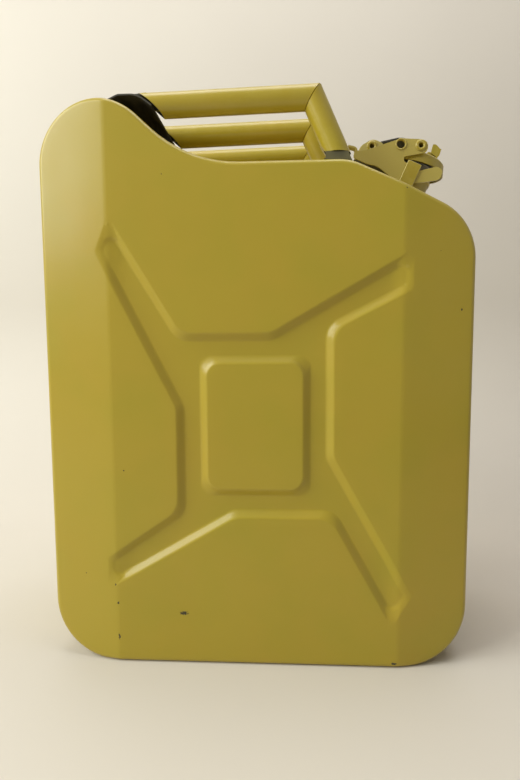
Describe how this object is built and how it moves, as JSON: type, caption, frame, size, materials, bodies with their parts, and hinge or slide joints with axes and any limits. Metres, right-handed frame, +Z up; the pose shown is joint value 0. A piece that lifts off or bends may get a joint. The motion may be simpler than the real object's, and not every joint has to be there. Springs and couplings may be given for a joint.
{
  "type": "metal jerry can",
  "caption": "Flat-sided pressed steel jerry can with an embossed cross, rolled carrying handles on top and a hinged lever closure on a sloping shoulder.",
  "frame": {"origin": "on the ground under the middle of the body", "axes": "+X towards the closure, +Y from the front shell to the rear shell, +Z up"},
  "size_m": [0.345, 0.165, 0.4648],
  "materials": {
    "mustard_enamel": "gloss enamel with slight orange peel",
    "zinc_plated_steel": "satin zinc plate",
    "black_rubber": "matte"
  },
  "bodies": {
    "can": {"front_shell": "mustard_enamel", "rear_shell": "mustard_enamel", "seam_weld": "mustard_enamel", "front_handle": "mustard_enamel", "middle_handle": "mustard_enamel", "rear_handle": "mustard_enamel", "neck": "mustard_enamel", "breather_tube": "zinc_plated_steel", "hinge_bracket": "mustard_enamel", "hinge_pin": "mustard_enamel", "front_keeper": "mustard_enamel", "rear_keeper": "mustard_enamel"},
    "lid": {"lid": "mustard_enamel", "gasket": "black_rubber", "gasket_plate": "zinc_plated_steel", "lid_arm": "mustard_enamel", "lid_rivet": "mustard_enamel"},
    "lever": {"front_cheek": "mustard_enamel", "rear_cheek": "mustard_enamel", "front_eyelet": "mustard_enamel", "rear_eyelet": "mustard_enamel", "lever_pin": "mustard_enamel"}
  },
  "joints": [
    {"name": "lid_hinge", "type": "hinge", "parent": "can", "child": "lid", "pos_m": [0.09883, 0, 0.43333], "axis": [0, -1, 0], "range_deg": [-10, 125]},
    {"name": "lever_pivot", "type": "hinge", "parent": "lid", "child": "lever", "pos_m": [0.1373, 0, 0.42848], "axis": [0, 1, 0], "range_deg": [0, 75]}
  ]
}
